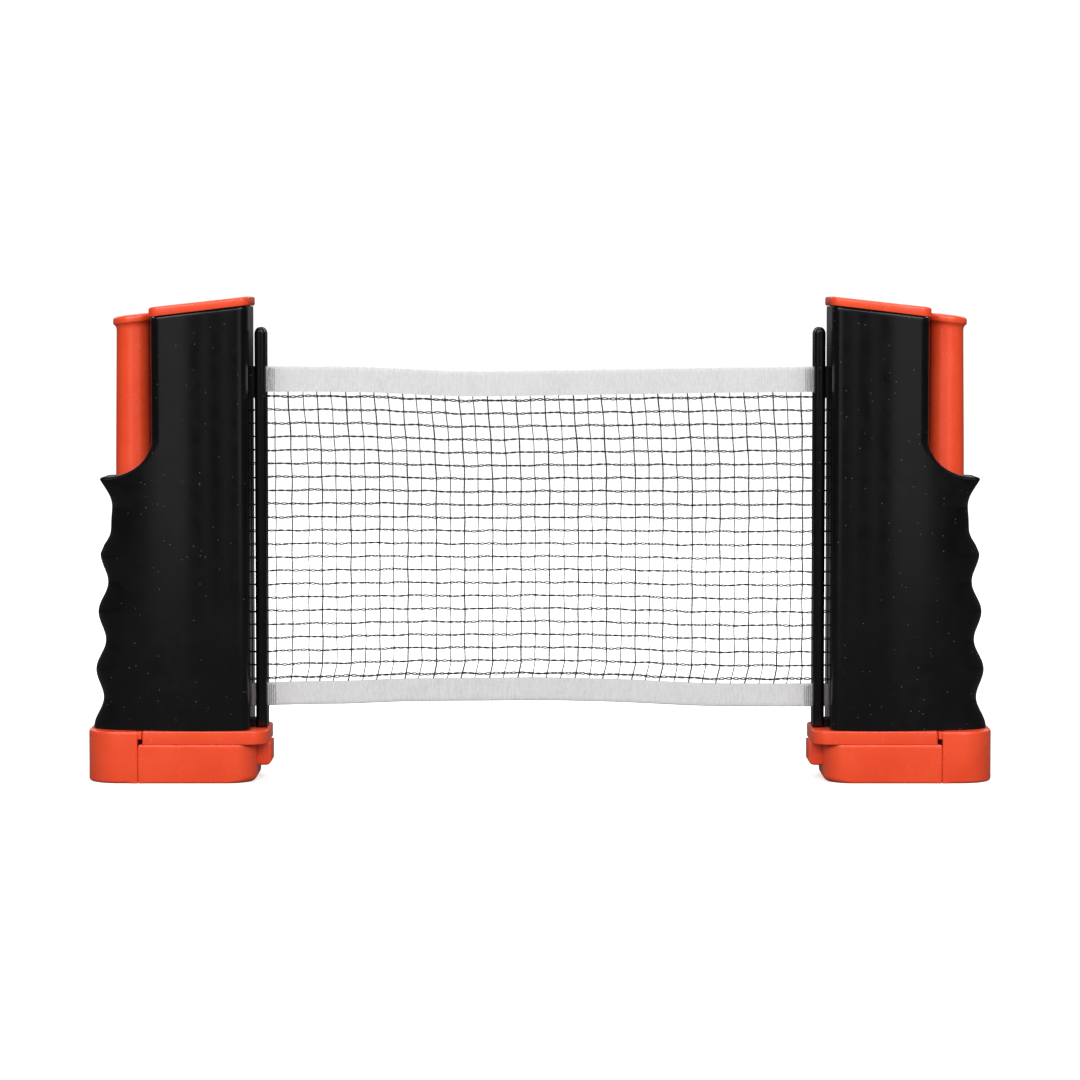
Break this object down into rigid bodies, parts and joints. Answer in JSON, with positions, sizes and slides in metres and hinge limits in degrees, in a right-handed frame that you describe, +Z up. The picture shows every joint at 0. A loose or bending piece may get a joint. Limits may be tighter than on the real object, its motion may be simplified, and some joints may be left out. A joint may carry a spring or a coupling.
{
  "type": "table tennis net clamp",
  "caption": "Pair of spring clamp posts with finger grips and press plungers, joined by a mesh net that winds onto a reel inside each post.",
  "frame": {"origin": "on the floor, midway between the two closed posts, in the plane of the net", "axes": "+X along the net from the left post to the right one, +Y to the back, +Z up"},
  "size_m": [0.371, 0.042, 0.1988],
  "materials": {
    "black_plastic": "satin, fine grain",
    "orange_plastic": "satin gloss",
    "pad_rubber": "matte",
    "grey_plastic": "moulded",
    "steel": "zinc plated",
    "net_mesh": "twisted nylon cord",
    "net_tape": "woven tape"
  },
  "bodies": {
    "left_post": {"left_front_shell": "black_plastic", "left_back_shell": "black_plastic", "left_top_cap": "orange_plastic", "left_upper_jaw": "orange_plastic", "left_upper_jaw_pad": "pad_rubber", "left_guide_bar_front": "black_plastic", "left_guide_bar_back": "black_plastic", "left_shell_screw_1": "steel", "left_shell_screw_2": "steel", "left_shell_screw_3": "steel", "left_shell_screw_4": "steel", "left_shell_screw_5": "steel", "left_shell_screw_6": "steel", "left_spring_seat": "steel", "left_clamp_spring": "steel", "left_axle_bush": "grey_plastic", "left_spring_cup": "grey_plastic", "left_return_spring": "steel", "net_mesh": "net_mesh", "net_top_tape": "net_tape", "net_bottom_tape": "net_tape"},
    "left_clamp": {"left_plunger": "orange_plastic", "left_plunger_screw": "steel", "left_jaw_leg": "orange_plastic", "left_leg_screw": "steel", "left_lower_jaw": "orange_plastic", "left_lower_jaw_pad": "pad_rubber"},
    "left_reel": {"left_reel_core": "grey_plastic", "left_reel_axle": "steel", "left_net_roll": "net_mesh"},
    "right_post": {"right_front_shell": "black_plastic", "right_back_shell": "black_plastic", "right_top_cap": "orange_plastic", "right_upper_jaw": "orange_plastic", "right_upper_jaw_pad": "pad_rubber", "right_guide_bar_front": "black_plastic", "right_guide_bar_back": "black_plastic", "right_shell_screw_1": "steel", "right_shell_screw_2": "steel", "right_shell_screw_3": "steel", "right_shell_screw_4": "steel", "right_shell_screw_5": "steel", "right_shell_screw_6": "steel", "right_spring_seat": "steel", "right_clamp_spring": "steel", "right_axle_bush": "grey_plastic", "right_spring_cup": "grey_plastic", "right_return_spring": "steel"},
    "right_clamp": {"right_plunger": "orange_plastic", "right_plunger_screw": "steel", "right_jaw_leg": "orange_plastic", "right_leg_screw": "steel", "right_lower_jaw": "orange_plastic", "right_lower_jaw_pad": "pad_rubber"},
    "right_reel": {"right_reel_core": "grey_plastic", "right_reel_axle": "steel", "right_net_roll": "net_mesh"}
  },
  "joints": [
    {"name": "left_clamp_slide", "type": "slide", "parent": "left_post", "child": "left_clamp", "axis": [0, 0, -1], "range_m": [0, 0.045], "stiffness_N_per_m": 300, "springref_m": -0.02, "deforming": ["left_clamp_spring"]},
    {"name": "right_clamp_slide", "type": "slide", "parent": "right_post", "child": "right_clamp", "axis": [0, 0, -1], "range_m": [0, 0.045], "stiffness_N_per_m": 300, "springref_m": -0.02, "deforming": ["right_clamp_spring"]},
    {"name": "post_spread", "type": "slide", "parent": "left_post", "child": "right_post", "axis": [1, 0, 0], "range_m": [-0.217, 1.475], "deforming": ["net_mesh", "net_top_tape", "net_bottom_tape"]},
    {"name": "left_reel_spin", "type": "hinge", "parent": "left_post", "child": "left_reel", "pos_m": [-0.1388, 0, 0.1], "axis": [0, 0, 1], "range_deg": [-500, 3390]},
    {"name": "right_reel_spin", "type": "hinge", "parent": "right_post", "child": "right_reel", "pos_m": [0.1388, 0, 0.1], "axis": [0, 0, 1], "range_deg": [-3390, 500]}
  ],
  "couplings": [
    {"joint": "left_reel_spin", "follows": "post_spread", "rad_per_m": 40},
    {"joint": "right_reel_spin", "follows": "post_spread", "rad_per_m": -40}
  ]
}
